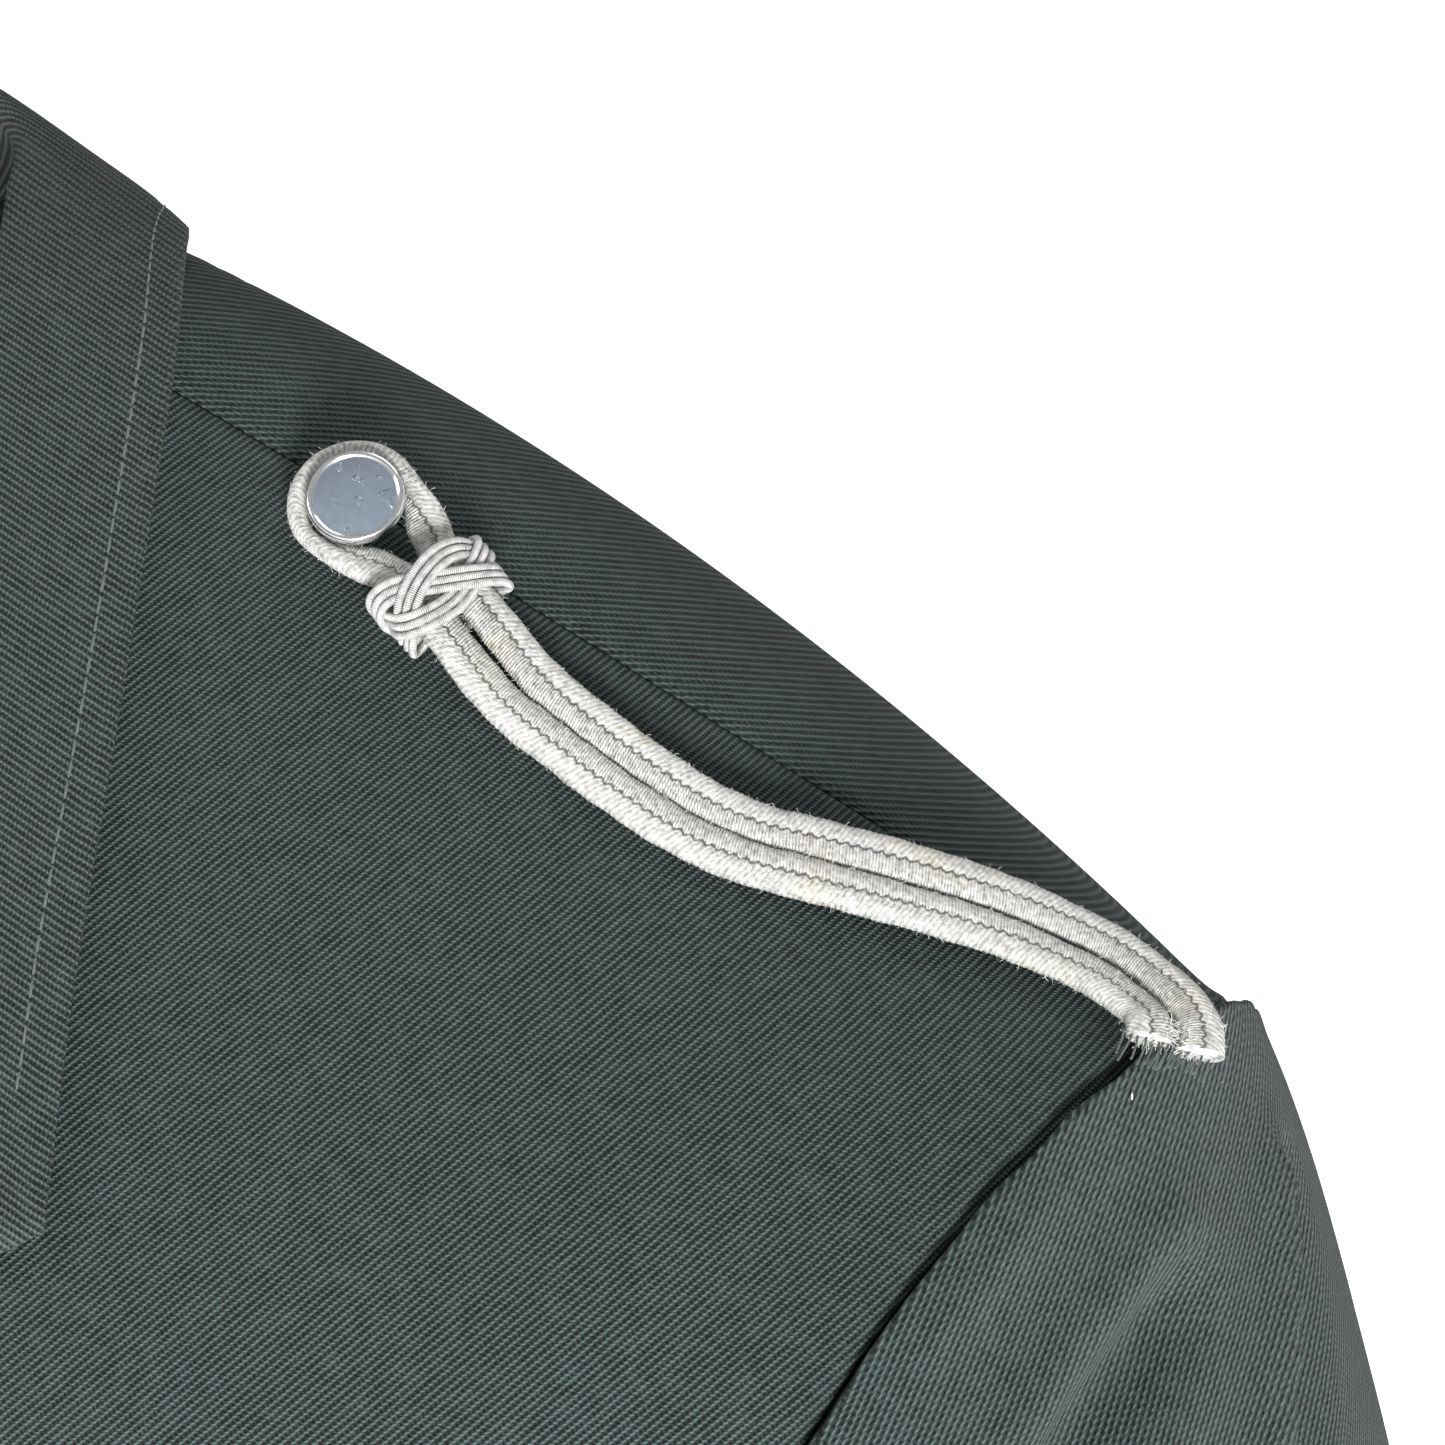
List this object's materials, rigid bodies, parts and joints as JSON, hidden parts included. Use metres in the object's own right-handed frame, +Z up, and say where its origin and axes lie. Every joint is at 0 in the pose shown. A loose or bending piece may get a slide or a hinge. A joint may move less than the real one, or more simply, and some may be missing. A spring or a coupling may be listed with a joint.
{
  "type": "dress jacket",
  "caption": "Single-breasted dress jacket in hollow worn form, with turned collar, lapels, set-in sleeves and a looped silver braid on each shoulder.",
  "frame": {"origin": "between the shoulders at the base of the neck, on the line over the shoulder seams", "axes": "+Z up as worn, -Y out of the front, +X to the wearer's left"},
  "size_m": [0.6552, 0.3036, 0.7941],
  "materials": {
    "whipcord": "dark grey-green worsted twill with a steep rib",
    "whipcord_collar": "the same twill, a shade darker where it is doubled",
    "silver_braid": "plaited silver-white thread with metal strands",
    "button_metal": "glossy slate grey dome with a polished rim"
  },
  "bodies": {
    "root": {"front_left": "whipcord", "front_right": "whipcord", "back_left": "whipcord", "back_right": "whipcord", "lapel_left": "whipcord_collar", "lapel_right": "whipcord_collar", "collar": "whipcord_collar", "sleeve_top_left": "whipcord", "sleeve_top_right": "whipcord", "sleeve_under_left": "whipcord", "sleeve_under_right": "whipcord", "cord_left": "silver_braid", "cord_right": "silver_braid", "knot_left": "silver_braid", "knot_right": "silver_braid", "shoulder_button_left": "button_metal", "shoulder_button_right": "button_metal", "front_button_1": "button_metal", "front_button_2": "button_metal", "front_button_3": "button_metal", "front_button_4": "button_metal"}
  },
  "joints": []
}
